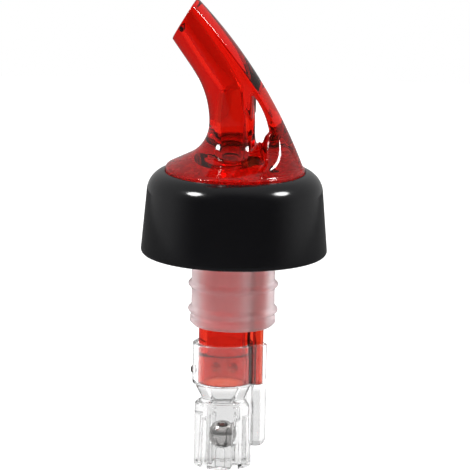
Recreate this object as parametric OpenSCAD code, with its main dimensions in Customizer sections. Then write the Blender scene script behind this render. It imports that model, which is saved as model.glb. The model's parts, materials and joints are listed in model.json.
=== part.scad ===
// Measured pourer for a bottle: curved spout with a back strap, bell collar, ringed cork,
// and a clear ball valve that ends each measure.
// Origin: on the stopper axis, midway between the two sealing rings. +Z up, spout towards -X.

/* [Cork] */
// Radius at the crest of the sealing rings
ring_r = 10.1; // [9.7:0.05:10.8]
// Distance between the two sealing rings
ring_pitch = 5.8; // [4.5:0.1:7]
// Length of the straight land on each ring's crest
ring_land = 0.5; // [0.3:0.1:0.8]
// Radius of the cork between the rings
cork_r = 9.37; // [8.8:0.01:9.6]
// Depth of the cork below the middle of the rings
cork_depth = 6.6; // [5:0.1:9]
// Chamfer at the cork's foot
cork_lead = 0.9; // [0.3:0.1:1.5]
// How far the bead at the cork's foot stands out of its wall
bead_proud = 0.28; // [0.1:0.02:0.5]
// Height of that bead
bead_h = 2.3; // [1.8:0.1:2.6]
// Radius of the flange on the cork's top
cork_flange_r = 12; // [10.5:0.1:14]
// Thickness of that flange
cork_flange_t = 2; // [1:0.1:3]

/* [Collar] */
// Height of the collar's rim above the middle of the rings
rim_z = 9.8; // [8:0.1:13]
// Height of the collar
collar_h = 19.2; // [16:0.1:24]
// Outer radius at the rim
collar_rim_r = 21.05; // [20:0.05:24]
// Outer radius just under the rounded shoulder
collar_top_r = 19.85; // [19:0.05:22]
// Radius of the rounded shoulder
shoulder_r = 4.95; // [3:0.05:6]
// Thickness of the collar's wall
collar_wall = 2.1; // [1.5:0.1:3]
// Radius of the rounding on the collar's rim
rim_round_r = 1; // [0.4:0.1:1.2]
// Chamfer inside the collar, between wall and ceiling
inner_chamfer = 0.8; // [0.3:0.1:1.5]
// Thickness of the collar's ceiling under the spout
ceiling_t = 2.6; // [2:0.1:4]
// Depth of the recess for the spout's flange
recess_depth = 1.2; // [0.6:0.1:1.8]
// Radius of the hole that the barrel passes through
collar_hole_r = 7.8; // [7.5:0.1:9]

/* [Spout] */
// Radius of the flange
flange_r = 15.7; // [14:0.1:16]
// Thickness of the flange
flange_t = 1.7; // [1:0.1:2]
// Outer radius of the spout's tube
tube_r = 5.17; // [4.8:0.01:5.6]
// Set-forward of the tube from the stopper axis
tube_x = -0.88; // [-1.2:0.02:-0.4]
// Height from the flange's seat to the start of the bend
riser_h = 11.93; // [10:0.01:14]
// Radius of the bend along the spout's front
bend_front_r = 20.74; // [18:0.02:26]
// Fine step in radius where the bend runs into the straight end
bend_step = 0.03; // [0.02:0.01:0.05]
// Tilt of the straight spout from the vertical
spout_tilt = 35.6; // [30:0.1:40]
// Length of the axis from the bend to the mouth
straight_len = 10.6; // [9:0.1:14]
// Tilt of the mouth's normal from the vertical
mouth_tilt = 59.8; // [50:0.1:64]
// Radius of the slanted bore at the mouth
mouth_bore_r = 1.9; // [1.5:0.05:2.6]
// Radius of the upright bore at the riser's foot
riser_bore_r = 2.8; // [2.5:0.05:3.2]
// Radius of the upright bore at its top
riser_bore_top_r = 2.4; // [2:0.05:2.8]
// Height from the flange's seat to the end of the upright bore
riser_bore_h = 20; // [18:0.1:22]

/* [Strap and skirt] */
// Radius of the long arc along the spout's back
back_r = 110; // [90:1:120]
// Distance from the tube's axis out to the top of that arc
back_offset = 6.1; // [6:0.02:6.6]
// Distance from the bend's end back to the top of that arc
back_apex = 5.15; // [4:0.05:7]
// Radius of the strap's crown
crown_r = 7.5; // [6:0.1:8]
// Width of the strap
strap_w = 8; // [7:0.1:9]
// Depth of the web under the strap's crown, before the window is cut
web_t = 5.5; // [5:0.1:6]
// Height of the strap's foot inside the flange
strap_foot_h = 0.2; // [0.1:0.05:0.5]
// Radius of the strap's side flares where they run into the skirt
flare_r = 11; // [8:0.1:13]
// Radius of the fillet between riser and skirt
skirt_fillet_r = 8.1; // [6:0.1:9]
// Slope of the skirt
skirt_slope = 26.8; // [20:0.1:30]
// Set-in of the skirt's rim from the flange's edge
skirt_inset = 0.1; // [0.1:0.1:0.6]
// Height of the skirt's rim above the flange's seat
skirt_rim_h = 2; // [1.8:0.05:2.4]
// Height of the window's foot above the flange's seat
window_foot_h = 6.2; // [5.5:0.1:7]
// Rise of the window's lower edge towards the strap
window_rise = 4.7; // [4:0.1:5.4]
// Radius of the window's outer edge
window_r = 17.5; // [15:0.5:20]
// Distance of that edge's outermost point from the stopper axis
window_reach = 8.26; // [7.9:0.02:8.6]
// Height of that point above the flange's seat
window_bulge_h = 8.05; // [7:0.05:9]
// Fall of the window's floor from its middle to both sides
floor_tilt = 40; // [30:1:45]
// Height of those falling floors over the window's lower edge, which leaves a flat strip in the middle
floor_lift = 0.4; // [0.2:0.05:0.6]
// Set-in of those floors from the window's corner
floor_inset = 0.3; // [0.1:0.05:0.5]
// How far the window's cut laps into the riser's round back
window_lap = 0.3; // [0.2:0.05:0.5]
// Height of the strap's flared root above the window's corner
root_rise = 3.8; // [3:0.1:5]
// Set-in of that root from the strap's own faces
root_inset = 0.15; // [0.1:0.05:0.3]
// Further set-in of the root at its top, where the strap's crown takes over
root_lean = 0.5; // [0.3:0.05:0.7]

/* [Barrel] */
// Set-off of the barrel from the stopper axis
barrel_x = -1.8; // [-2:0.05:-1.5]
// Outer radius of the barrel
barrel_r = 5.8; // [5.4:0.05:6]
// Radius of the barrel's bore
barrel_bore_r = 4.0; // [3.6:0.05:4.2]
// Depth of the barrel's foot below the middle of the rings
foot_depth = 20; // [18:0.1:23]
// Place of the air channel beside the barrel
air_x = 5.6; // [5.4:0.05:5.8]
// Outer radius of the air channel
air_r = 1.5; // [1.4:0.05:1.6]
// Radius of the air bore
air_bore_r = 0.9; // [0.7:0.05:1]

/* [Valve] */
// Radius of the large ball
timing_r = 3.175; // [3:0.025:3.25]
// Room between the large ball and the cage's bore
timing_gap = 0.4; // [0.3:0.05:0.5]
// Place of the cage beside the stopper axis
cage_x = -1.87; // [-2.2:0.01:-1.6]
// Outer radius of the cage
cage_r = 6.4; // [6:0.05:6.6]
// Height of the cage from its top edge to its foot
cage_h = 14.7; // [13:0.1:17]
// Width of the cage's slots at their top
slot_w = 0.9; // [0.6:0.1:1.2]
// Width of the cage's slots at the foot
slot_foot_w = 1.5; // [1.2:0.1:2]
// Angle of the slots from the air tube's side
slot_angle = 55; // [50:1:60]
// Height of the ribs that carry the large ball
rib_h = 4.7; // [3:0.1:5.5]
// Inner radius of those ribs
rib_r = 2.2; // [2:0.05:2.4]
// Width of those ribs
rib_w = 1.8; // [1.2:0.1:2.2]
// Radius of the throat that the large ball closes
throat_r = 2.2; // [2:0.05:2.4]
// Height of the socket on the barrel
socket_h = 9.2; // [7:0.1:11]
// Thickness of the socket's wall
socket_wall = 1.2; // [1.1:0.05:1.5]
// Thickness of the wall round the air channel and tube
air_wall = 0.7; // [0.6:0.05:0.9]
// Depth from the socket's floor to the top of the neck
taper_h = 3.3; // [2.8:0.1:4]
// Chamfer on the cage's top edge
cage_edge = 0.6; // [0.3:0.1:0.8]
// Set-in of the taper's top from the socket's side
taper_inset = 0.4; // [0.2:0.1:0.8]
// Radius of the funnel's top in the socket's floor
funnel_r = 3.3; // [3:0.1:3.5]
// Width of the web between cage and air tube
air_web_w = 2.2; // [1.5:0.1:3]
// Outer radius of the neck
neck_r = 4.9; // [4.6:0.05:5.6]
// Height of the neck's groove
neck_h = 0.9; // [0.5:0.1:1.4]
// Depth of the air tube's foot below the barrel's foot
air_tube_depth = 14.5; // [11:0.1:17]
// Radius of the snap bump on the socket's side
snap_r = 1.3; // [1:0.1:1.5]
// How far the snap bump stands out of the socket's side
snap_proud = 0.5; // [0.2:0.05:0.7]
// Height of the snap bump above the socket's floor
snap_h = 2.7; // [1.6:0.1:3]

/* [Small balls] */
// Radius of each small ball
check_r = 1.2; // [1.1:0.05:1.25]
// Set-off of each small ball from the barrel's axis
check_x = 1.9; // [1.8:0.05:2]
// Room between a small ball and its pocket
check_gap = 0.15; // [0.1:0.01:0.2]
// Lift of each small ball from its rest to its port
check_lift = 1.25; // [1:0.05:1.5]
// Radius of the ports that the small balls close
check_port_r = 0.75; // [0.6:0.05:0.85]
// Width of the drain slot under each small ball
drain_w = 1; // [0.8:0.05:1.2]
// Radius of the carrier and the port plate
carrier_r = 4.5; // [4.4:0.05:4.6]
// Thickness of the port plate
plate_t = 1; // [0.8:0.1:1.4]
// Radius of the hollow under the carrier
hollow_r = 3.9; // [3.7:0.05:4]
// Depth of the hollow under the carrier
hollow_depth = 1.2; // [0.8:0.1:1.5]
// Thickness of the floor under each small ball
pocket_floor_t = 1.2; // [0.9:0.1:1.5]
// Radius of the main ports
main_port_r = 1.2; // [1:0.05:1.25]
// Set-off of the main ports from the barrel's axis
main_port_y = 2.9; // [2.8:0.05:3]

/* [Fits] */
// Room between fixed pieces that fit into each other
fit_gap = 0.08; // [0.05:0.01:0.1]
// Room between faces that seat on each other
seat_gap = 0.04; // [0.02:0.01:0.08]

/* [Hidden] */
$fn = 96;

// Overlap that makes cuts and joined shapes cross cleanly
over = 0.5;
// Reach that is larger than the whole part
far = 60;
// Steps in the outline of a rounded corner
corner_steps = 12;
// Largest share of a wall that the rounding on its edge takes
round_share = 0.49;
// Rounding of the rim, no more than its wall can hold
rim_fillet_r = min(rim_round_r, round_share * collar_wall);

// Heights of the seats, from the bottle upwards
collar_top_z = rim_z + collar_h;
flange_seat_z = collar_top_z - recess_depth;
ceiling_z = flange_seat_z - ceiling_t;
cork_top_z = ceiling_z - seat_gap;
flange_z = flange_seat_z + seat_gap;

// The spout's bend and mouth, in the XZ plane
bend_axis_r = bend_front_r + tube_r;
bend_x = tube_x - bend_axis_r;
bend_z = flange_seat_z + riser_h;
spout_dir = [-sin(spout_tilt), cos(spout_tilt)];
back_dir = [cos(spout_tilt), sin(spout_tilt)];
bend_end = [bend_x, bend_z] + bend_axis_r * back_dir;
mouth = bend_end + straight_len * spout_dir;

// The long arc of the spout's back
back_centre = bend_end - back_apex * spout_dir + (back_offset - back_r) * back_dir;
// Angles at which the strap starts at the flange and ends past the mouth
strap_foot_angle = asin((flange_z - back_centre[1]) / back_r);
strap_head_angle = spout_tilt + asin((straight_len + back_apex + tube_r) / back_r);
function back_x(z) = back_centre[0] + sqrt(pow(back_r, 2) - pow(z - back_centre[1], 2));

// The skirt's fillet and rim, measured from the tube's axis
fillet_x = tube_r + skirt_fillet_r;
fillet_foot = [
  fillet_x - skirt_fillet_r * sin(skirt_slope),
  -skirt_fillet_r * cos(skirt_slope)
];
skirt_rim_r = flange_r + tube_x - skirt_inset;
fillet_z = flange_z + skirt_rim_h + (skirt_rim_r - fillet_foot[0]) * tan(skirt_slope) - fillet_foot[1];

// The window between riser and strap
window_x = tube_x + tube_r - window_lap;
window_foot_z = flange_seat_z + window_foot_h;
window_corner_z = window_foot_z + window_rise;
window_centre = [window_reach - window_r, flange_seat_z + window_bulge_h];
window_corner_angle = asin((window_corner_z - window_centre[1]) / window_r);
window_corner_x = window_centre[0] + window_r * cos(window_corner_angle);

// The valve's levels below the barrel's foot
foot_z = -foot_depth;
socket_floor_z = foot_z - seat_gap;
socket_top_z = foot_z + socket_h;
neck_z = socket_floor_z - taper_h;
cage_top_z = neck_z - neck_h;
cage_foot_z = cage_top_z - cage_h;
cage_bore_r = timing_r + timing_gap;
seat_z = cage_top_z;
rib_top_z = cage_foot_z + rib_h;
air_tube_r = air_r + fit_gap + air_wall;
socket_r = barrel_r + fit_gap + socket_wall;

// Where each ball rests, and how far it runs
timing_rest_z = rib_top_z + sqrt(pow(timing_r, 2) - pow(rib_r, 2)) + seat_gap;
timing_seated_z = seat_z - (timing_r * sqrt(2) - throat_r) - seat_gap;
timing_travel = timing_seated_z - timing_rest_z;
pocket_floor_z = foot_z + hollow_depth + pocket_floor_t;
check_rest_z = pocket_floor_z + sqrt(pow(check_r, 2) - pow(drain_w / 2, 2)) + seat_gap;
plate_z = check_rest_z + check_lift + sqrt(pow(check_r, 2) - pow(check_port_r, 2)) + seat_gap;
step_z = plate_z + plate_t + seat_gap;
carrier_top_z = plate_z - seat_gap;
pocket_r = check_r + check_gap;

echo(timing_rest_z = timing_rest_z, timing_travel = timing_travel);
echo(check_rest_z = check_rest_z, check_lift = check_lift);

// Points of an arc from angle a to angle b
function arc(centre, r, a, b) = [
  for (i = [0 : corner_steps])
    let (t = a + (b - a) * i / corner_steps)
      centre + r * [cos(t), sin(t)]
];

// Turns a shape drawn in the XY plane into the XZ plane, with its depth along Y
module upright() {
  rotate([90, 0, 0]) children();
}

// Outline of the barrel with its air channel, grown by a clearance
module barrel_outline(grow) {
  translate([barrel_x, 0]) circle(barrel_r + grow);
  translate([air_x, 0]) circle(air_r + grow);
  translate([0, -air_r - grow]) square([air_x, 2 * (air_r + grow)]);
}

// One sealing ring, as half a section beside the cork's wall
module ring_section(z) {
  flank = ring_r - cork_r;
  polygon([
    [cork_r - over, z - ring_land / 2 - flank],
    [cork_r, z - ring_land / 2 - flank],
    [ring_r, z - ring_land / 2],
    [ring_r, z + ring_land / 2],
    [cork_r, z + ring_land / 2 + flank],
    [cork_r - over, z + ring_land / 2 + flank]
  ]);
}

// Tube of the spout: riser, bend and straight end, with the crowned back of the long arc
module spout_tube() {
  translate([tube_x, 0, flange_z]) cylinder(r = tube_r, h = riser_h - seat_gap);
  translate([bend_x, 0, bend_z]) upright()
    rotate_extrude(angle = spout_tilt) translate([bend_axis_r, 0]) circle(tube_r);
  intersection() {
    translate([bend_end[0], 0, bend_end[1]]) rotate([0, -spout_tilt, 0])
      cylinder(r = tube_r - bend_step, h = straight_len + 2 * tube_r);
    back_sweep() {
      translate([back_r - crown_r, 0]) circle(crown_r);
      translate([back_r / 2, -crown_r]) square([back_r / 2 - crown_r, 2 * crown_r]);
    }
  }
}

// Sweeps a section along the long arc of the back
module back_sweep() {
  translate([back_centre[0], 0, back_centre[1]]) upright()
    rotate([0, 0, strap_foot_angle])
      rotate_extrude(angle = strap_head_angle - strap_foot_angle) children();
}

// Crowned strap and its web from the mouth to the flange
module strap() {
  intersection() {
    back_sweep() intersection() {
      translate([back_r - crown_r, 0]) circle(crown_r);
      translate([back_r - web_t, -strap_w / 2]) square([web_t, strap_w]);
    }
    translate([0, 0, flange_z + strap_foot_h]) cylinder(r = flange_r - root_inset, h = far);
  }
}

// Flared root of the strap: a solid of revolution, narrowed by concave sides
module strap_root() {
  root_foot_z = flange_z + flange_t / 2;
  root_top_z = window_corner_z + root_rise;
  half_w = strap_w / 2 - root_inset;
  outer_edge = [
    for (i = [0 : corner_steps])
      let (share = i / corner_steps, z = root_foot_z + (root_top_z - root_foot_z) * share)
        [min(back_x(z), flange_r) - root_inset - root_lean * share, z]
  ];
  intersection() {
    rotate_extrude() polygon(concat([[0, root_top_z], [0, root_foot_z]], outer_edge));
    translate([window_x + fit_gap, 0, 0]) rotate([90, 0, 90]) linear_extrude(far) difference() {
      translate([-half_w - flare_r, root_foot_z]) square([2 * (half_w + flare_r), root_top_z - root_foot_z]);
      for (side = [-1, 1]) translate([side * (half_w + flare_r), root_top_z]) circle(flare_r);
    }
  }
}

// Concave skirt round the riser, and the flat flange in the collar's recess
module skirt() {
  translate([0, 0, flange_z]) cylinder(r = flange_r, h = flange_t);
  translate([tube_x, 0, 0]) rotate_extrude() polygon(concat(
    [[0, flange_z], [skirt_rim_r, flange_z], [skirt_rim_r, flange_z + skirt_rim_h]],
    arc([fillet_x, fillet_z], skirt_fillet_r, 270 - skirt_slope, 180),
    [[0, fillet_z]]
  ));
}

// Window cut between riser and strap, right through from side to side
module window() {
  top_angle = acos((window_x - window_centre[0]) / window_r);
  upright() translate([0, 0, -far / 2]) linear_extrude(far) polygon(concat(
    [[window_x, window_foot_z]],
    arc(window_centre, window_r, window_corner_angle, top_angle)
  ));
}

// Falling floors of the window, cut into the strap's root on both sides
module window_floor() {
  floor_slope = atan2(window_rise, window_corner_x - window_x);
  floor_len = window_corner_x - floor_inset - window_x;
  for (side = [0, 1]) mirror([0, side, 0]) intersection() {
    translate([window_x, 0, window_foot_z + floor_lift]) rotate([0, -floor_slope, 0])
      rotate([-floor_tilt, 0, 0]) translate([-far / 2, -over, 0]) cube(far);
    translate([window_x, 0, flange_z]) cube([floor_len, far, window_corner_z - flange_z]);
  }
}

module spout_body() {
  color("crimson") difference() {
    union() {
      difference() {
        skirt();
        window();
      }
      difference() {
        union() {
          strap_root();
          strap();
        }
        window();
        window_floor();
      }
      spout_tube();
      translate([0, 0, foot_z]) linear_extrude(flange_z - foot_z + flange_t) barrel_outline(0);
    }
    translate([mouth[0], 0, mouth[1]]) rotate([0, -mouth_tilt, 0])
      translate([-far / 2, -far / 2, 0]) cube(far);
    translate([bend_end[0], 0, bend_end[1]]) rotate([0, -spout_tilt, 0])
      translate([0, 0, -mouth_bore_r - tube_r]) cylinder(r = mouth_bore_r, h = far);
    translate([tube_x, 0, ceiling_z])
      cylinder(r1 = riser_bore_r, r2 = riser_bore_top_r, h = flange_seat_z + riser_bore_h - ceiling_z);
    translate([barrel_x, 0, step_z - over]) cylinder(r = barrel_bore_r, h = flange_z - step_z + over);
    translate([barrel_x, 0, foot_z - over]) cylinder(r = carrier_r + fit_gap, h = step_z - foot_z + over);
    translate([air_x, 0, foot_z - over]) cylinder(r = air_bore_r, h = window_corner_z - foot_z + over);
  }
}

module collar() {
  inner_r = collar_top_r - collar_wall;
  shoulder_z = collar_top_z - shoulder_r;
  color("black") difference() {
    rotate_extrude() polygon(concat(
      [[0, collar_top_z]],
      [[0, ceiling_z], [inner_r - inner_chamfer, ceiling_z], [inner_r, ceiling_z - inner_chamfer]],
      arc([collar_rim_r - collar_wall + rim_fillet_r, rim_z + rim_fillet_r], rim_fillet_r, 180, 270),
      arc([collar_rim_r - rim_fillet_r, rim_z + rim_fillet_r], rim_fillet_r, 270, 360),
      arc([collar_top_r - shoulder_r, shoulder_z], shoulder_r, 0, 90)
    ));
    translate([0, 0, flange_seat_z]) cylinder(r = flange_r + fit_gap, h = recess_depth + over);
    translate([0, 0, ceiling_z - over]) cylinder(r = collar_hole_r, h = ceiling_t + 2 * over);
  }
}

module bottle_cork() {
  bead_r = cork_r + bead_proud;
  color("mistyrose") difference() {
    rotate_extrude() {
      polygon([
        [0, -cork_depth],
        [bead_r - cork_lead, -cork_depth],
        [bead_r, cork_lead - cork_depth],
        [bead_r, bead_h - bead_proud - cork_depth],
        [cork_r, bead_h - cork_depth],
        [cork_r, cork_top_z - cork_flange_t],
        [cork_flange_r, cork_top_z - cork_flange_t],
        [cork_flange_r, cork_top_z],
        [0, cork_top_z]
      ]);
      for (side = [-1, 1]) ring_section(side * ring_pitch / 2);
    }
    translate([0, 0, -cork_depth - over]) linear_extrude(cork_depth + cork_top_z + 2 * over)
      barrel_outline(fit_gap);
  }
}

// Outside of the clear housing: socket, tapered neck, cage and air tube
module housing_shell() {
  translate([barrel_x, 0, socket_floor_z]) cylinder(r = socket_r, h = socket_top_z - socket_floor_z);
  translate([0, -air_tube_r, socket_floor_z])
    cube([air_x, 2 * air_tube_r, socket_top_z - socket_floor_z]);
  translate([barrel_x - socket_r - snap_proud + snap_r, 0, socket_floor_z + snap_h]) sphere(snap_r);
  translate([cage_x, 0, cage_foot_z]) rotate_extrude() polygon([
    [0, 0],
    [cage_r, 0],
    [cage_r, cage_h - cage_edge],
    [cage_r - cage_edge, cage_h],
    [neck_r, cage_h],
    [neck_r, cage_h + neck_h],
    [socket_r + cage_x - barrel_x - taper_inset, cage_h + neck_h + taper_h],
    [0, cage_h + neck_h + taper_h]
  ]);
  air_foot_z = foot_z - air_tube_depth + air_tube_r;
  translate([air_x, 0, air_foot_z]) cylinder(r = air_tube_r, h = socket_top_z - air_foot_z);
  translate([air_x, 0, air_foot_z]) sphere(air_tube_r);
  translate([cage_x, -air_web_w / 2, air_foot_z])
    cube([air_x - cage_x, air_web_w, socket_floor_z - air_foot_z]);
}

// One slot of the cage, widening towards its foot
module cage_slot() {
  slot_top_z = rib_top_z + 2 * timing_r;
  rotate([90, 0, 90]) linear_extrude(cage_r + over) polygon([
    [-slot_foot_w / 2, cage_foot_z - over],
    [slot_foot_w / 2, cage_foot_z - over],
    [slot_w / 2, slot_top_z],
    [-slot_w / 2, slot_top_z]
  ]);
}

// Rib inside a prong of the cage, with a rounded top
module cage_rib() {
  rib_len = cage_bore_r - rib_r + over;
  translate([rib_r, -rib_w / 2, cage_foot_z]) cube([rib_len, rib_w, rib_h - rib_w / 2]);
  translate([rib_r, 0, rib_top_z - rib_w / 2]) rotate([0, 90, 0]) cylinder(r = rib_w / 2, h = rib_len);
}

module valve_housing() {
  color("lightcyan") {
    difference() {
      housing_shell();
      translate([0, 0, socket_floor_z]) linear_extrude(socket_top_z - socket_floor_z + over)
        barrel_outline(fit_gap);
      translate([cage_x, 0, 0]) rotate_extrude() polygon([
        [0, socket_floor_z + over],
        [funnel_r, socket_floor_z + over],
        [funnel_r, socket_floor_z],
        [throat_r, neck_z],
        [throat_r, seat_z],
        [cage_bore_r, seat_z - cage_bore_r + throat_r],
        [cage_bore_r, cage_foot_z - over],
        [0, cage_foot_z - over]
      ]);
      translate([air_x, 0, foot_z - air_tube_depth - over])
        cylinder(r = air_bore_r, h = air_tube_depth + over);
      translate([cage_x, 0, 0])
        for (a = [slot_angle, 180 - slot_angle, 180 + slot_angle, -slot_angle]) rotate([0, 0, a]) cage_slot();
    }
    translate([cage_x, 0, 0]) for (a = [0 : 90 : 270]) rotate([0, 0, a]) cage_rib();
  }
}

// The two main ports, cut through a disc on the barrel's axis
module main_ports(z, h) {
  for (side = [-1, 1]) translate([barrel_x, side * main_port_y, z]) cylinder(r = main_port_r, h = h);
}

module port_plate() {
  color("gainsboro") difference() {
    translate([barrel_x, 0, plate_z]) cylinder(r = carrier_r, h = plate_t);
    main_ports(plate_z - over, plate_t + 2 * over);
    for (side = [-1, 1]) translate([barrel_x + side * check_x, 0, plate_z - over])
      cylinder(r = check_port_r, h = plate_t + 2 * over);
  }
}

module ball_carrier() {
  height = carrier_top_z - foot_z;
  color("whitesmoke") difference() {
    translate([barrel_x, 0, foot_z]) cylinder(r = carrier_r, h = height);
    translate([barrel_x, 0, foot_z - over]) cylinder(r = hollow_r, h = hollow_depth + over);
    main_ports(foot_z, height + over);
    for (side = [-1, 1]) translate([barrel_x + side * check_x, 0, 0]) {
      translate([0, 0, pocket_floor_z]) cylinder(r = pocket_r, h = height);
      translate([-drain_w / 2, -pocket_r, foot_z])
        cube([drain_w, 2 * pocket_r, pocket_floor_z - foot_z + over]);
    }
  }
}

module timing_ball() {
  color("silver") translate([cage_x, 0, timing_rest_z]) sphere(timing_r);
}

module check_ball(side) {
  color("silver") translate([barrel_x + side * check_x, 0, check_rest_z]) sphere(check_r);
}

module check_ball_left() {
  check_ball(-1);
}

module check_ball_right() {
  check_ball(1);
}

spout_body();
collar();
bottle_cork();
valve_housing();
port_plate();
ball_carrier();
timing_ball();
check_ball_left();
check_ball_right();
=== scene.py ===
"""Looks of a measured pourer: red transparent spout, black collar, frosted cork and clear ball valve."""

import json
import math

import bmesh
import bpy
from mathutils import Matrix, Quaternion, Vector


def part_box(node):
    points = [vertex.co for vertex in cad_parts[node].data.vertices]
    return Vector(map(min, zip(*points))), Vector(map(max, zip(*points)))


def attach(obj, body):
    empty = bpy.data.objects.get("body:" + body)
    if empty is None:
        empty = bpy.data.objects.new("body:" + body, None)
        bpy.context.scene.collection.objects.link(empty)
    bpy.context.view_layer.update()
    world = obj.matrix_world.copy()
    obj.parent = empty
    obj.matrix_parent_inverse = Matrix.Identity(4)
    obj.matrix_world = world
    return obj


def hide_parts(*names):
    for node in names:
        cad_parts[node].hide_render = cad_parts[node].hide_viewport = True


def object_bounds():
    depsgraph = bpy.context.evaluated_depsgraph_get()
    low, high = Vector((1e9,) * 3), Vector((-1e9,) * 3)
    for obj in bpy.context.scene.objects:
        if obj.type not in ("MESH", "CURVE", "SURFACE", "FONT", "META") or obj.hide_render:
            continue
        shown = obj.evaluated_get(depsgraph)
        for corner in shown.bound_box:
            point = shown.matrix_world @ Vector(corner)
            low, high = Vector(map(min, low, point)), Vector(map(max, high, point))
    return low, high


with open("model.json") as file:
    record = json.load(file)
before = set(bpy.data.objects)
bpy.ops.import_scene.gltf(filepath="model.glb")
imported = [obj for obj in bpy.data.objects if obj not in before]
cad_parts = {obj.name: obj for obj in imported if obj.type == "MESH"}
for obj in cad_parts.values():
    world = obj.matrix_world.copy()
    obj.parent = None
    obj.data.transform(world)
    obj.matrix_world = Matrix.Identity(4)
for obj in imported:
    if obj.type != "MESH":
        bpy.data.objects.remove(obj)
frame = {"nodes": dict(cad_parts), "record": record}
cad_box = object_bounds()

MM = 0.001
BODY = "pourer"
SMALL_BALLS = ("check_ball_left", "check_ball_right")

# View of the photograph: degrees round, above and tipped, the width that the frame covers, and the lens
VIEW_AZIMUTH = 8.0
VIEW_ELEVATION = 12.0
VIEW_ROLL = 1.0
VIEW_WIDTH = 105.8 * MM
VIEW_TARGET = Vector((0.2, 0.0, 14.0)) * MM
VIEW_DISTANCE = 2.5
VIEW_DEPTH = 10.0
SENSOR_WIDTH = 36.0

# Studio light: two soft boxes above, left and right of the object, and the light from all round
BOX_AZIMUTHS = {"soft_box_left": -70.0, "soft_box_right": 84.0}
BOX_ELEVATION = 46.0
BOX_DISTANCE = 0.9
BOX_SIZE = 0.26
BOX_POWER = 4.6
AMBIENT = 0.35

# Floor: its size, and its brightness to the camera, through clear pieces and in glossy ones
FLOOR_RADIUS = 0.45
FLOOR_SEGMENTS = 96
FLOOR_GLOW = 0.45
FLOOR_CLEAR_GLOW = 0.42
FLOOR_TONE = 0.9
FLOOR_GLOSS = 0.12

# Surroundings that clear and glossy pieces show, before, beside, behind and above the object
CLEAR_FRONT = 0.35
CLEAR_SIDE = 0.8
CLEAR_BACK = 1.0
CLEAR_TOP = 1.2
GLOSS_FRONT = 0.02
GLOSS_SIDE = 0.38

# Spans in which the surroundings run into each other, as cosines to the back and to the top
FRONT_TO_SIDE = (-0.7, 0.1)
SIDE_TO_BACK = (0.6, 0.9)
WALL_TO_TOP = (0.3, 0.8)

# Spans of a noise: its usual one, that of the rubbing marks on steel, and the edge of the painted glints
# on the red underside
NOISE_SPAN = (0.3, 0.7)
RUB_SPAN = (0.35, 0.75)
PAINTED_GLINT_SPAN = (0.5, 0.64)

# Moulded pieces: voxel size and smoothing rounds of each
SOFTEN_FACTOR = 0.5
MOULDED = {
    "spout_body": (0.2 * MM, 11),
    "bottle_cork": (0.12 * MM, 2),
    "valve_housing": (0.15 * MM, 4),
}

# Spout: the crease of the strap's flared root, which is rounded more than the other edges
CREASE = [
    Vector((10.7, 4.3, 38.2)) * MM,
    Vector((11.1, 6.6, 35.2)) * MM,
    Vector((9.0, 10.2, 31.8)) * MM,
]
CREASE_CORE = 1.2 * MM
CREASE_REACH = 3.5 * MM
CREASE_LEVEL = 30.4 * MM
CREASE_ROUNDS = 280

# Spout: the knee where its upright and slanted bore meet at a mitre, and their radii and lengths
KNEE = Vector((-0.88, 0.0, 48.05)) * MM
KNEE_TURN = math.radians(35.6)
KNEE_LAP = 0.02 * MM
UPRIGHT_BORE = (2.6 * MM, 2.77 * MM, 21.0 * MM)
SLANTED_BORE = (2.25 * MM, 1.85 * MM, 22.0 * MM)
BORE_RUN_UP = 4.0 * MM
BORE_SEGMENTS = 96

# Collar: sizes of the bell that is turned, and its edge roundings
COLLAR_SEGMENTS = 160
COLLAR_HOLE_R = 7.8 * MM
COLLAR_RECESS_R = 15.78 * MM
COLLAR_RECESS_DEPTH = 1.2 * MM
COLLAR_CEILING_T = 2.6 * MM
COLLAR_WALL = 2.1 * MM
COLLAR_FLANK_TOP_R = 19.85 * MM
COLLAR_SHOULDER_R = 4.95 * MM
COLLAR_RIM_ROUND = 0.95 * MM
COLLAR_EDGE_ROUND = 0.25 * MM
FILLET_STEPS = 10
SHOULDER_STEPS = 24

# Housing: heights between which the cage's painted shade, which makes it greyer, runs out into the
# clearer socket
CAGE_TOP = -21.8 * MM
SOCKET_FOOT = -20.4 * MM
CAGE_PAINTED_SHADE = 0.76
SOCKET_TONE = 0.97

# Housing: straight slots that part the cage's front and back prongs from its sides
CAGE_X = -1.87 * MM
CAGE_R = 6.39 * MM
CAGE_BORE_R = 3.59 * MM
SLOT_X = 3.45 * MM
SLOT_HEIGHT = 11.05 * MM
SLOT_TOP_W = 0.9 * MM
SLOT_FOOT_W = 1.5 * MM
SLOT_INNER_Y = 1.3 * MM
SLOT_OUTER_Y = 7.0 * MM
SLOT_LAP = 0.05 * MM
RING_SEGMENTS = 192

# Spout: the flange's underside, by its depth below the collar's top and the reach and tilt of its faces
UNDERSIDE_DEPTH = 1.16 * MM
UNDERSIDE_REACH = 0.3 * MM
UNDERSIDE_FACING = -0.7


def direction(azimuth, elevation):
    """Unit vector from the object towards a point round it, in the sense of the view angles."""
    a = math.radians(azimuth)
    e = math.radians(elevation)
    return Vector((math.sin(a) * math.cos(e), -math.cos(a) * math.cos(e), math.sin(e)))


def aim(obj, way):
    """Turn an object so that it looks along a direction."""
    obj.rotation_mode = "QUATERNION"
    obj.rotation_quaternion = way.to_track_quat("-Z", "Y")


def make_camera():
    """Long lens at the photograph's viewing angle."""
    data = bpy.data.cameras.new("camera")
    data.sensor_width = SENSOR_WIDTH
    data.lens = SENSOR_WIDTH * VIEW_DISTANCE / VIEW_WIDTH
    data.clip_end = VIEW_DEPTH
    camera = bpy.data.objects.new("camera", data)
    back = direction(VIEW_AZIMUTH, VIEW_ELEVATION)
    camera.location = VIEW_TARGET + back * VIEW_DISTANCE
    aim(camera, -back)
    camera.rotation_quaternion @= Quaternion((0, 0, 1), math.radians(VIEW_ROLL))
    bpy.context.scene.collection.objects.link(camera)
    bpy.context.scene.camera = camera


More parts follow.
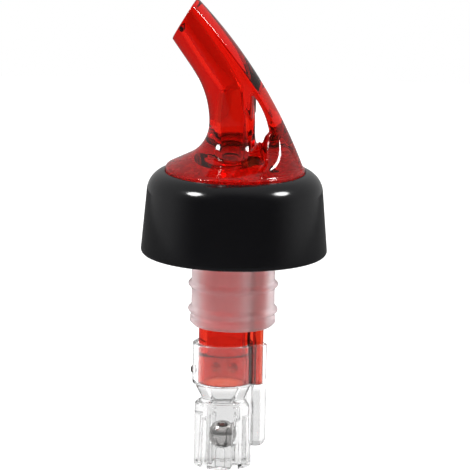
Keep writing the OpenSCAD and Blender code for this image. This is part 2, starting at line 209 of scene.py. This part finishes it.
def make_soft_box(name, azimuth):
    """One round soft box that faces the object."""
    data = bpy.data.lights.new(name, "AREA")
    data.shape = "DISK"
    data.size = BOX_SIZE
    data.energy = BOX_POWER
    lamp = bpy.data.objects.new(name, data)
    way = direction(VIEW_AZIMUTH + azimuth, BOX_ELEVATION)
    lamp.location = VIEW_TARGET + way * BOX_DISTANCE
    aim(lamp, -way)
    bpy.context.scene.collection.objects.link(lamp)


class Nodes:
    """Short way to add shader nodes to a tree and link them."""

    def __init__(self, tree):
        self.tree = tree

    def add(self, kind, inputs=None, **settings):
        """Add a node, set its properties, and set or link its inputs."""
        node = self.tree.nodes.new(kind)
        for key, value in settings.items():
            setattr(node, key, value)
        for key, value in (inputs or {}).items():
            if isinstance(value, bpy.types.NodeSocket):
                self.tree.links.new(value, node.inputs[key])
            else:
                node.inputs[key].default_value = value
        return node

    def math(self, operation, first, second):
        """A two-input math node's result."""
        return self.add("ShaderNodeMath", {0: first, 1: second}, operation=operation).outputs[0]

    def ramp(self, value, span, start, end):
        """Smooth run from a start to an end while a value crosses a span."""
        return self.add("ShaderNodeMapRange", {
            "Value": value, "From Min": span[0], "From Max": span[1], "To Min": start, "To Max": end,
        }, interpolation_type="SMOOTHSTEP").outputs[0]

    def noise(self, scale, detail, stretch=(1, 1, 1)):
        """Noise over the object, in features per metre, drawn out along an axis by a smaller stretch."""
        coords = self.add("ShaderNodeTexCoord").outputs["Object"]
        spread = self.add("ShaderNodeMapping", {"Vector": coords, "Scale": stretch}).outputs[0]
        return self.add("ShaderNodeTexNoise", {
            "Vector": spread, "Scale": scale, "Detail": detail,
        }).outputs["Fac"]

    def level(self):
        """Height on the object."""
        coords = self.add("ShaderNodeTexCoord").outputs["Object"]
        return self.add("ShaderNodeSeparateXYZ", {0: coords}).outputs["Z"]

    def bump(self, height, strength, distance, normal=None):
        """Normal that a height field bends."""
        inputs = {"Height": height, "Strength": strength, "Distance": distance}
        if normal:
            inputs["Normal"] = normal
        return self.add("ShaderNodeBump", inputs).outputs[0]

    def end(self, surface, volume=None):
        """Link the shaders to the material's output."""
        out = self.add("ShaderNodeOutputMaterial")
        self.tree.links.new(surface.outputs[0], out.inputs["Surface"])
        if volume:
            self.tree.links.new(volume.outputs[0], out.inputs["Volume"])


def make_world():
    """White to the camera. Clear and glossy pieces see a room with a white wall behind the object."""
    world = bpy.data.worlds.new("studio")
    world.use_nodes = True
    world.node_tree.nodes.clear()
    bpy.context.scene.world = world
    n = Nodes(world.node_tree)
    path = n.add("ShaderNodeLightPath").outputs
    coords = n.add("ShaderNodeTexCoord").outputs["Generated"]
    behind = -direction(VIEW_AZIMUTH, 0)
    cosine = n.add("ShaderNodeVectorMath", {0: coords, 1: behind}, operation="DOT_PRODUCT")
    facing = cosine.outputs["Value"]
    walls = n.ramp(facing, FRONT_TO_SIDE, CLEAR_FRONT, CLEAR_SIDE)
    backdrop = n.ramp(facing, SIDE_TO_BACK, 0.0, CLEAR_BACK - CLEAR_SIDE)
    height = n.add("ShaderNodeSeparateXYZ", {0: coords}).outputs["Z"]
    ceiling = n.ramp(height, WALL_TO_TOP, 0.0, CLEAR_TOP)
    room = n.math("ADD", ceiling, n.math("ADD", walls, backdrop))
    clear = n.math("MULTIPLY", path["Is Transmission Ray"], room)
    sheen = n.ramp(facing, FRONT_TO_SIDE, GLOSS_FRONT, GLOSS_SIDE)
    gloss = n.math("MULTIPLY", path["Is Glossy Ray"], sheen)
    seen = n.math("MAXIMUM", path["Is Camera Ray"], n.math("MAXIMUM", clear, gloss))
    mirrored = n.math("MAXIMUM", path["Is Glossy Ray"], path["Is Transmission Ray"])
    diffuse = n.math("SUBTRACT", 1.0, n.math("MAXIMUM", path["Is Camera Ray"], mirrored))
    lit = n.math("MULTIPLY", diffuse, AMBIENT)
    light = n.add("ShaderNodeBackground", {"Color": (1, 1, 1, 1), "Strength": n.math("ADD", seen, lit)})
    out = n.add("ShaderNodeOutputWorld")
    world.node_tree.links.new(light.outputs[0], out.inputs["Surface"])


def new_material(name):
    """Empty node material and its nodes."""
    material = bpy.data.materials.new(name)
    material.use_nodes = True
    material.node_tree.nodes.clear()
    return material, Nodes(material.node_tree)


def make_floor():
    """Pale round floor under the object, white to the camera, which keeps the object's shadow."""
    bpy.ops.mesh.primitive_circle_add(vertices=FLOOR_SEGMENTS, radius=FLOOR_RADIUS, fill_type="NGON")
    floor = bpy.context.object
    floor.name = "floor"
    floor.location.z = cad_box[0][2]
    material, n = new_material("pale_floor")
    path = n.add("ShaderNodeLightPath").outputs
    mirrored = n.math("SUBTRACT", path["Is Glossy Ray"], path["Is Transmission Ray"])
    tone = n.ramp(mirrored, (0.0, 1.0), FLOOR_TONE, FLOOR_GLOSS)
    surface = n.add("ShaderNodeBsdfDiffuse", {"Color": tone})
    seen = n.math("MULTIPLY", path["Is Camera Ray"], FLOOR_GLOW)
    shown = n.math("MULTIPLY", path["Is Transmission Ray"], FLOOR_CLEAR_GLOW)
    glow = n.add("ShaderNodeEmission", {"Strength": n.math("MAXIMUM", seen, shown)})
    n.end(n.add("ShaderNodeAddShader", {0: surface.outputs[0], 1: glow.outputs[0]}))
    floor.data.materials.append(material)


def red_depth(n):
    """Absorption that makes the red darker where it is thick."""
    return n.add("ShaderNodeVolumeAbsorption", {"Color": (0.945, 0.05, 0.0, 1), "Density": 440.0})


def red_plastic():
    """Polished transparent red with faint waves of the moulding."""
    material, n = new_material("red_plastic")
    flow = n.noise(scale=260.0, detail=2.0, stretch=(1.0, 1.0, 0.3))
    grain = n.noise(scale=2600.0, detail=3.0)
    waves = n.bump(flow, strength=0.02, distance=0.2 * MM)
    shader = n.add("ShaderNodeBsdfPrincipled", {
        "Base Color": (0.71, 0.16, 0.07, 1),
        "Roughness": n.ramp(grain, NOISE_SPAN, start=0.015, end=0.05),
        "IOR": 1.49,
        "Transmission Weight": 0.985,
        "Normal": n.bump(grain, strength=0.03, distance=0.03 * MM, normal=waves),
    })
    n.end(shader, red_depth(n))
    return material


def red_underside():
    """Waved red of the flange's underside, with painted highlights: pale flecks in its colour that stand
    in for the glints it throws back up.
    """
    material, n = new_material("red_underside")
    flow = n.noise(scale=520.0, detail=2.0)
    painted_glints = n.ramp(n.noise(scale=430.0, detail=2.5), PAINTED_GLINT_SPAN, start=0.0, end=1.0)
    # Pale second colour: painted glints, flecks that stand in for light the underside throws back up
    colour = n.add("ShaderNodeMixRGB", {
        "Fac": painted_glints,
        "Color1": (0.7, 0.04, 0.05, 1),
        "Color2": (1.0, 0.75, 0.8, 1),
    }).outputs["Color"]
    shader = n.add("ShaderNodeBsdfPrincipled", {
        "Base Color": colour,
        "Roughness": 0.04,
        "IOR": 2.4,
        "Transmission Weight": 0.25,
        "Normal": n.bump(flow, strength=1.0, distance=0.2 * MM),
    })
    n.end(shader, red_depth(n))
    return material


def black_plastic():
    """Glossy black moulded plastic with a faint ripple."""
    material, n = new_material("black_plastic")
    ripple = n.noise(scale=160.0, detail=3.0)
    grain = n.noise(scale=3000.0, detail=2.0)
    waves = n.bump(ripple, strength=0.03, distance=0.3 * MM)
    n.end(n.add("ShaderNodeBsdfPrincipled", {
        "Base Color": (0.006, 0.006, 0.007, 1),
        "Roughness": n.ramp(ripple, NOISE_SPAN, start=0.1, end=0.15),
        "IOR": 1.5,
        "Normal": n.bump(grain, strength=0.02, distance=0.03 * MM, normal=waves),
    }))
    return material


def frosted_plastic():
    """Soft frosted plastic that lets the red barrel glow through."""
    material, n = new_material("frosted_plastic")
    cloud = n.noise(scale=420.0, detail=4.0)
    grain = n.noise(scale=5200.0, detail=2.0)
    n.end(n.add("ShaderNodeBsdfPrincipled", {
        "Base Color": (1.0, 0.86, 0.87, 1),
        "Roughness": n.ramp(cloud, NOISE_SPAN, start=0.5, end=0.6),
        "IOR": 1.27,
        "Transmission Weight": 0.87,
        "Normal": n.bump(grain, strength=0.1, distance=0.04 * MM),
    }))
    return material


def clear_plastic():
    """Clear plastic with the waves of a thin moulding, and painted shade that makes it greyer in the
    cage than in the socket.
    """
    material, n = new_material("clear_plastic")
    wave = n.noise(scale=480.0, detail=2.0, stretch=(1.0, 1.0, 0.45))
    streak = n.noise(scale=1500.0, detail=2.0, stretch=(1.0, 1.0, 0.08))
    grain = n.noise(scale=3600.0, detail=2.0)
    waves = n.bump(wave, strength=0.2, distance=0.2 * MM)
    n.end(n.add("ShaderNodeBsdfPrincipled", {
        # Painted shade: the base colour is greyer in the cage below than in the socket above
        "Base Color": n.ramp(n.level(), (CAGE_TOP, SOCKET_FOOT), CAGE_PAINTED_SHADE, SOCKET_TONE),
        "Roughness": n.ramp(grain, NOISE_SPAN, start=0.03, end=0.09),
        "IOR": 1.26,
        "Transmission Weight": 0.985,
        "Normal": n.bump(streak, strength=0.25, distance=0.1 * MM, normal=waves),
    }))
    return material


def natural_plastic():
    """Milky plastic of the inner valve pieces, thin enough to see through."""
    material, n = new_material("natural_plastic")
    cloud = n.noise(scale=700.0, detail=3.0)
    n.end(n.add("ShaderNodeBsdfPrincipled", {
        "Base Color": (0.92, 0.9, 0.86, 1),
        "Roughness": n.ramp(cloud, NOISE_SPAN, start=0.1, end=0.2),
        "IOR": 1.2,
        "Transmission Weight": 0.3,
        "Alpha": 0.1,
        "Normal": n.bump(cloud, strength=0.1, distance=0.1 * MM),
    }))
    return material


def steel_finish(name, colour, smooth, dull):
    """Stainless steel with faint rubbing marks, between a smooth and a dull roughness."""
    material, n = new_material(name)
    rub = n.noise(scale=900.0, detail=4.0)
    n.end(n.add("ShaderNodeBsdfPrincipled", {
        "Base Color": colour,
        "Roughness": n.ramp(rub, RUB_SPAN, smooth, dull),
        "Metallic": 1.0,
        "Normal": n.bump(rub, strength=0.04, distance=0.05 * MM),
    }))
    return material


def steel():
    """Polished steel of the large ball."""
    return steel_finish("steel", (0.5, 0.49, 0.48, 1), smooth=0.08, dull=0.2)


def glint_brightened_steel():
    """Steel of the two small balls, smoother, with a colour brighter than steel's: partly real
    reflection, partly painted highlight, so that their glints show.
    """
    return steel_finish("glint_brightened_steel", (0.95, 0.94, 0.93, 1), smooth=0.03, dull=0.06)


def set_piece(piece, node):
    """Let a piece ride with the pourer in place of a CAD node."""
    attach(piece, BODY)
    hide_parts(node)
    return piece


def apply_modifiers(piece):
    """Turn a piece's modifiers into its mesh."""
    graph = bpy.context.evaluated_depsgraph_get()
    shape = bpy.data.meshes.new_from_object(piece.evaluated_get(graph))
    piece.modifiers.clear()
    piece.data = shape
    shape.shade_smooth()


def bore_cutter(name, way, sizes):
    """Tapered bore from the knee along a direction, cut off at the mitre."""
    radius, end_radius, length = sizes
    turn = Vector((0, 0, 1)).rotation_difference(way).to_matrix().to_4x4()
    lead = radius + (radius - end_radius) * BORE_RUN_UP / length
    depth = length + BORE_RUN_UP
    centre = KNEE + way * (length - BORE_RUN_UP) / 2
    mitre = Vector((-math.sin(KNEE_TURN / 2), 0, math.cos(KNEE_TURN / 2)))
    inward = mitre * math.copysign(1, mitre.dot(way))
    shape = bmesh.new()
    bmesh.ops.create_cone(
        shape, cap_ends=True, segments=BORE_SEGMENTS, radius1=lead, radius2=end_radius, depth=depth,
        matrix=Matrix.Translation(centre) @ turn,
    )
    cut = bmesh.ops.bisect_plane(
        shape, geom=shape.verts[:] + shape.edges[:] + shape.faces[:], plane_co=KNEE - inward * KNEE_LAP,
        plane_no=inward, clear_inner=True,
    )
    rim = [item for item in cut["geom_cut"] if isinstance(item, bmesh.types.BMEdge)]
    bmesh.ops.contextual_create(shape, geom=rim)
    bmesh.ops.recalc_face_normals(shape, faces=shape.faces)
    mesh = bpy.data.meshes.new(name)
    shape.to_mesh(mesh)
    shape.free()
    return bpy.data.objects.new(name, mesh)


def carve(piece, tools, operation):
    """Join solids to a piece, or cut them out of it."""
    for tool in tools:
        bpy.context.scene.collection.objects.link(tool)
        step = piece.modifiers.new(tool.name, "BOOLEAN")
        step.operation = operation
        step.solver = "EXACT"
        step.object = tool
    apply_modifiers(piece)
    for tool in tools:
        bpy.data.objects.remove(tool)


def cut_bores(piece):
    """Widen the spout's bores to two straight tapered ones that meet at a mitre."""
    slant = Vector((-math.sin(KNEE_TURN), 0, math.cos(KNEE_TURN)))
    cutters = [
        bore_cutter("upright_bore", Vector((0, 0, -1)), UPRIGHT_BORE),
        bore_cutter("slanted_bore", slant, SLANTED_BORE),
    ]
    carve(piece, cutters, "DIFFERENCE")


def solid(name, points, faces):
    """Object with a closed mesh whose faces look outwards."""
    mesh = bpy.data.meshes.new(name)
    mesh.from_pydata(points, [], faces)
    shape = bmesh.new()
    shape.from_mesh(mesh)
    bmesh.ops.recalc_face_normals(shape, faces=shape.faces)
    shape.to_mesh(mesh)
    shape.free()
    return bpy.data.objects.new(name, mesh)


def turned(name, outline, segments):
    """Ring turned about the upright axis from its half section."""
    count = len(outline)
    sides = [(i, (i + 1) % count) for i in range(count)]
    points = []
    faces = []
    for step in range(segments):
        turn = 2 * math.pi * step / segments
        points += [(p.x * math.cos(turn), p.x * math.sin(turn), p.y) for p in outline]
        here = step * count
        there = (step + 1) % segments * count
        faces += [(here + i, there + i, there + j, here + j) for i, j in sides]
    return solid(name, points, faces)


def slot_cutter(side, way, foot_z):
    """One straight slot on a side of the cage, towards its front or back, wider at the foot."""
    levels = [(foot_z - SLOT_LAP, SLOT_FOOT_W / 2), (foot_z + SLOT_HEIGHT, SLOT_TOP_W / 2)]
    points = []
    for z, half in levels:
        for x in (-half, half):
            points += [(CAGE_X + side * SLOT_X + x, way * y, z) for y in (SLOT_INNER_Y, SLOT_OUTER_Y)]
    faces = [(0, 1, 3, 2), (4, 5, 7, 6), (0, 1, 5, 4), (2, 3, 7, 6), (0, 2, 6, 4), (1, 3, 7, 5)]
    return solid("slot", points, faces)


def straighten_slots(piece):
    """Close the cage's slots and cut them again straight from front to back."""
    foot_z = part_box("valve_housing")[0][2]
    low = foot_z + SLOT_LAP
    high = foot_z + SLOT_HEIGHT + SLOT_LAP
    section = [(CAGE_BORE_R, low), (CAGE_R, low), (CAGE_R, high), (CAGE_BORE_R, high)]
    ring = turned("cage_ring", [Vector(corner) for corner in section], RING_SEGMENTS)
    ring.data.transform(Matrix.Translation((CAGE_X, 0, 0)))
    carve(piece, [ring], "UNION")
    carve(piece, [slot_cutter(side, way, foot_z) for side in (-1, 1) for way in (-1, 1)], "DIFFERENCE")


def crease_distance(place):
    """Distance from a point to the crease of the strap's root."""
    spans = []
    for start, end in zip(CREASE, CREASE[1:]):
        run = end - start
        along = max(0.0, min(1.0, (place - start).dot(run) / run.length_squared))
        spans.append((place - start - run * along).length)
    return min(spans)


def round_crease(piece):
    """Round the crease of the strap's root, on both sides."""
    group = piece.vertex_groups.new(name="crease")
    for point in piece.data.vertices:
        place = Vector((point.co.x, abs(point.co.y), point.co.z))
        far = crease_distance(place)
        if far < CREASE_REACH and place.z > CREASE_LEVEL:
            share = min(1.0, (CREASE_REACH - far) / (CREASE_REACH - CREASE_CORE))
            group.add([point.index], share, "REPLACE")
    soften = piece.modifiers.new("crease", "SMOOTH")
    soften.factor = SOFTEN_FACTOR
    soften.iterations = CREASE_ROUNDS
    soften.vertex_group = group.name
    apply_modifiers(piece)
    piece.vertex_groups.clear()


def moulded_copy(node, voxel, rounds):
    """Stand-in for a CAD node with the small edge roundings of a moulding."""
    piece = bpy.data.objects.new("moulded_" + node, frame["nodes"][node].data.copy())
    bpy.context.scene.collection.objects.link(piece)
    if node == "spout_body":
        cut_bores(piece)
    if node == "valve_housing":
        straighten_slots(piece)
    skin = piece.modifiers.new("skin", "REMESH")
    skin.mode = "VOXEL"
    skin.voxel_size = voxel
    soften = piece.modifiers.new("soften", "SMOOTH")
    soften.factor = SOFTEN_FACTOR
    soften.iterations = rounds
    apply_modifiers(piece)
    if node == "spout_body":
        round_crease(piece)
    return set_piece(piece, node)


def waved_underside(piece):
    """Give the flange's underside, which lies on the collar, a waved red that throws light back up, with
    painted glints in its colour.
    """
    underside = len(piece.data.materials)
    piece.data.materials.append(red_underside())
    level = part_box("collar")[1][2] - UNDERSIDE_DEPTH
    for face in piece.data.polygons:
        near = abs(face.center.z - level) < UNDERSIDE_REACH
        if near and face.normal.z < UNDERSIDE_FACING:
            face.material_index = underside


def fillet(before, corner, after, radius):
    """Points that round one corner of an outline."""
    to_before = (before - corner).normalized()
    to_after = (after - corner).normalized()
    half = to_before.angle(to_after) / 2
    run = radius / math.tan(half)
    centre = corner + (to_before + to_after).normalized() * radius / math.sin(half)
    start = corner + to_before * run - centre
    end = corner + to_after * run - centre
    steps = [start.lerp(end, i / FILLET_STEPS).normalized() for i in range(FILLET_STEPS + 1)]
    return [centre + step * radius for step in steps]


def collar_outline():
    """Half section of the collar, with a shoulder that runs smoothly into the flank."""
    lo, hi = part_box("collar")
    rim_z = lo[2]
    rim_r = hi[0]
    top_z = hi[2]
    seat_z = top_z - COLLAR_RECESS_DEPTH
    ceiling_z = seat_z - COLLAR_CEILING_T
    centre = Vector((COLLAR_FLANK_TOP_R - COLLAR_SHOULDER_R, top_z - COLLAR_SHOULDER_R))
    slope = math.atan2(rim_r - COLLAR_FLANK_TOP_R, centre.y - rim_z)
    end = math.acos((COLLAR_RECESS_R - centre.x) / COLLAR_SHOULDER_R)
    turns = [slope + (end - slope) * i / SHOULDER_STEPS for i in range(SHOULDER_STEPS + 1)]
    shoulder = [centre + COLLAR_SHOULDER_R * Vector((math.cos(t), math.sin(t))) for t in turns]
    edge = COLLAR_EDGE_ROUND
    corners = [(Vector((rim_r, rim_z)), COLLAR_RIM_ROUND)]
    corners += [(point, 0) for point in shoulder[:-1]]
    corners += [
        (shoulder[-1], edge),
        (Vector((COLLAR_RECESS_R, seat_z)), edge),
        (Vector((COLLAR_HOLE_R, seat_z)), edge),
        (Vector((COLLAR_HOLE_R, ceiling_z)), edge),
        (Vector((COLLAR_FLANK_TOP_R - COLLAR_WALL, ceiling_z)), COLLAR_RIM_ROUND),
        (Vector((rim_r - COLLAR_WALL, rim_z)), COLLAR_RIM_ROUND),
    ]
    outline = []
    for i, (corner, radius) in enumerate(corners):
        if radius:
            after = corners[(i + 1) % len(corners)][0]
            outline += fillet(corners[i - 1][0], corner, after, radius)
        else:
            outline.append(corner)
    return outline


def turned_collar():
    """The bell, turned from its outline."""
    piece = turned("turned_collar", collar_outline(), COLLAR_SEGMENTS)
    piece.data.shade_smooth()
    bpy.context.scene.collection.objects.link(piece)
    return set_piece(piece, "collar")


def make_piece(node):
    """The visible piece of a CAD node: a moulded or turned stand-in, or the node itself."""
    if node in MOULDED:
        return moulded_copy(node, *MOULDED[node])
    if node == "collar":
        return turned_collar()
    return frame["nodes"][node]


def dress_pieces():
    """Make every visible piece and give it the material of its slot; the two small balls get a steel
    brightened into painted glints.
    """
    makers = {
        "red_plastic": red_plastic,
        "black_plastic": black_plastic,
        "frosted_plastic": frosted_plastic,
        "clear_plastic": clear_plastic,
        "natural_plastic": natural_plastic,
        "steel": steel,
    }
    finishes = {slot: maker() for slot, maker in makers.items()}
    # The small balls' steel is brightened past real steel, a painted highlight for their glints
    small_ball_glint_finish = glint_brightened_steel()
    for part in frame["record"]["subparts"]:
        node = part["node"]
        slot = part["material_slot"]
        piece = make_piece(node)
        piece.data.materials.clear()
        piece.data.materials.append(small_ball_glint_finish if node in SMALL_BALLS else finishes[slot])
        if node == "spout_body":
            waved_underside(piece)


make_camera()
for name, azimuth in BOX_AZIMUTHS.items():
    make_soft_box(name, azimuth)
make_world()
make_floor()
dress_pieces()

bpy.context.scene.view_settings.view_transform = "Standard"
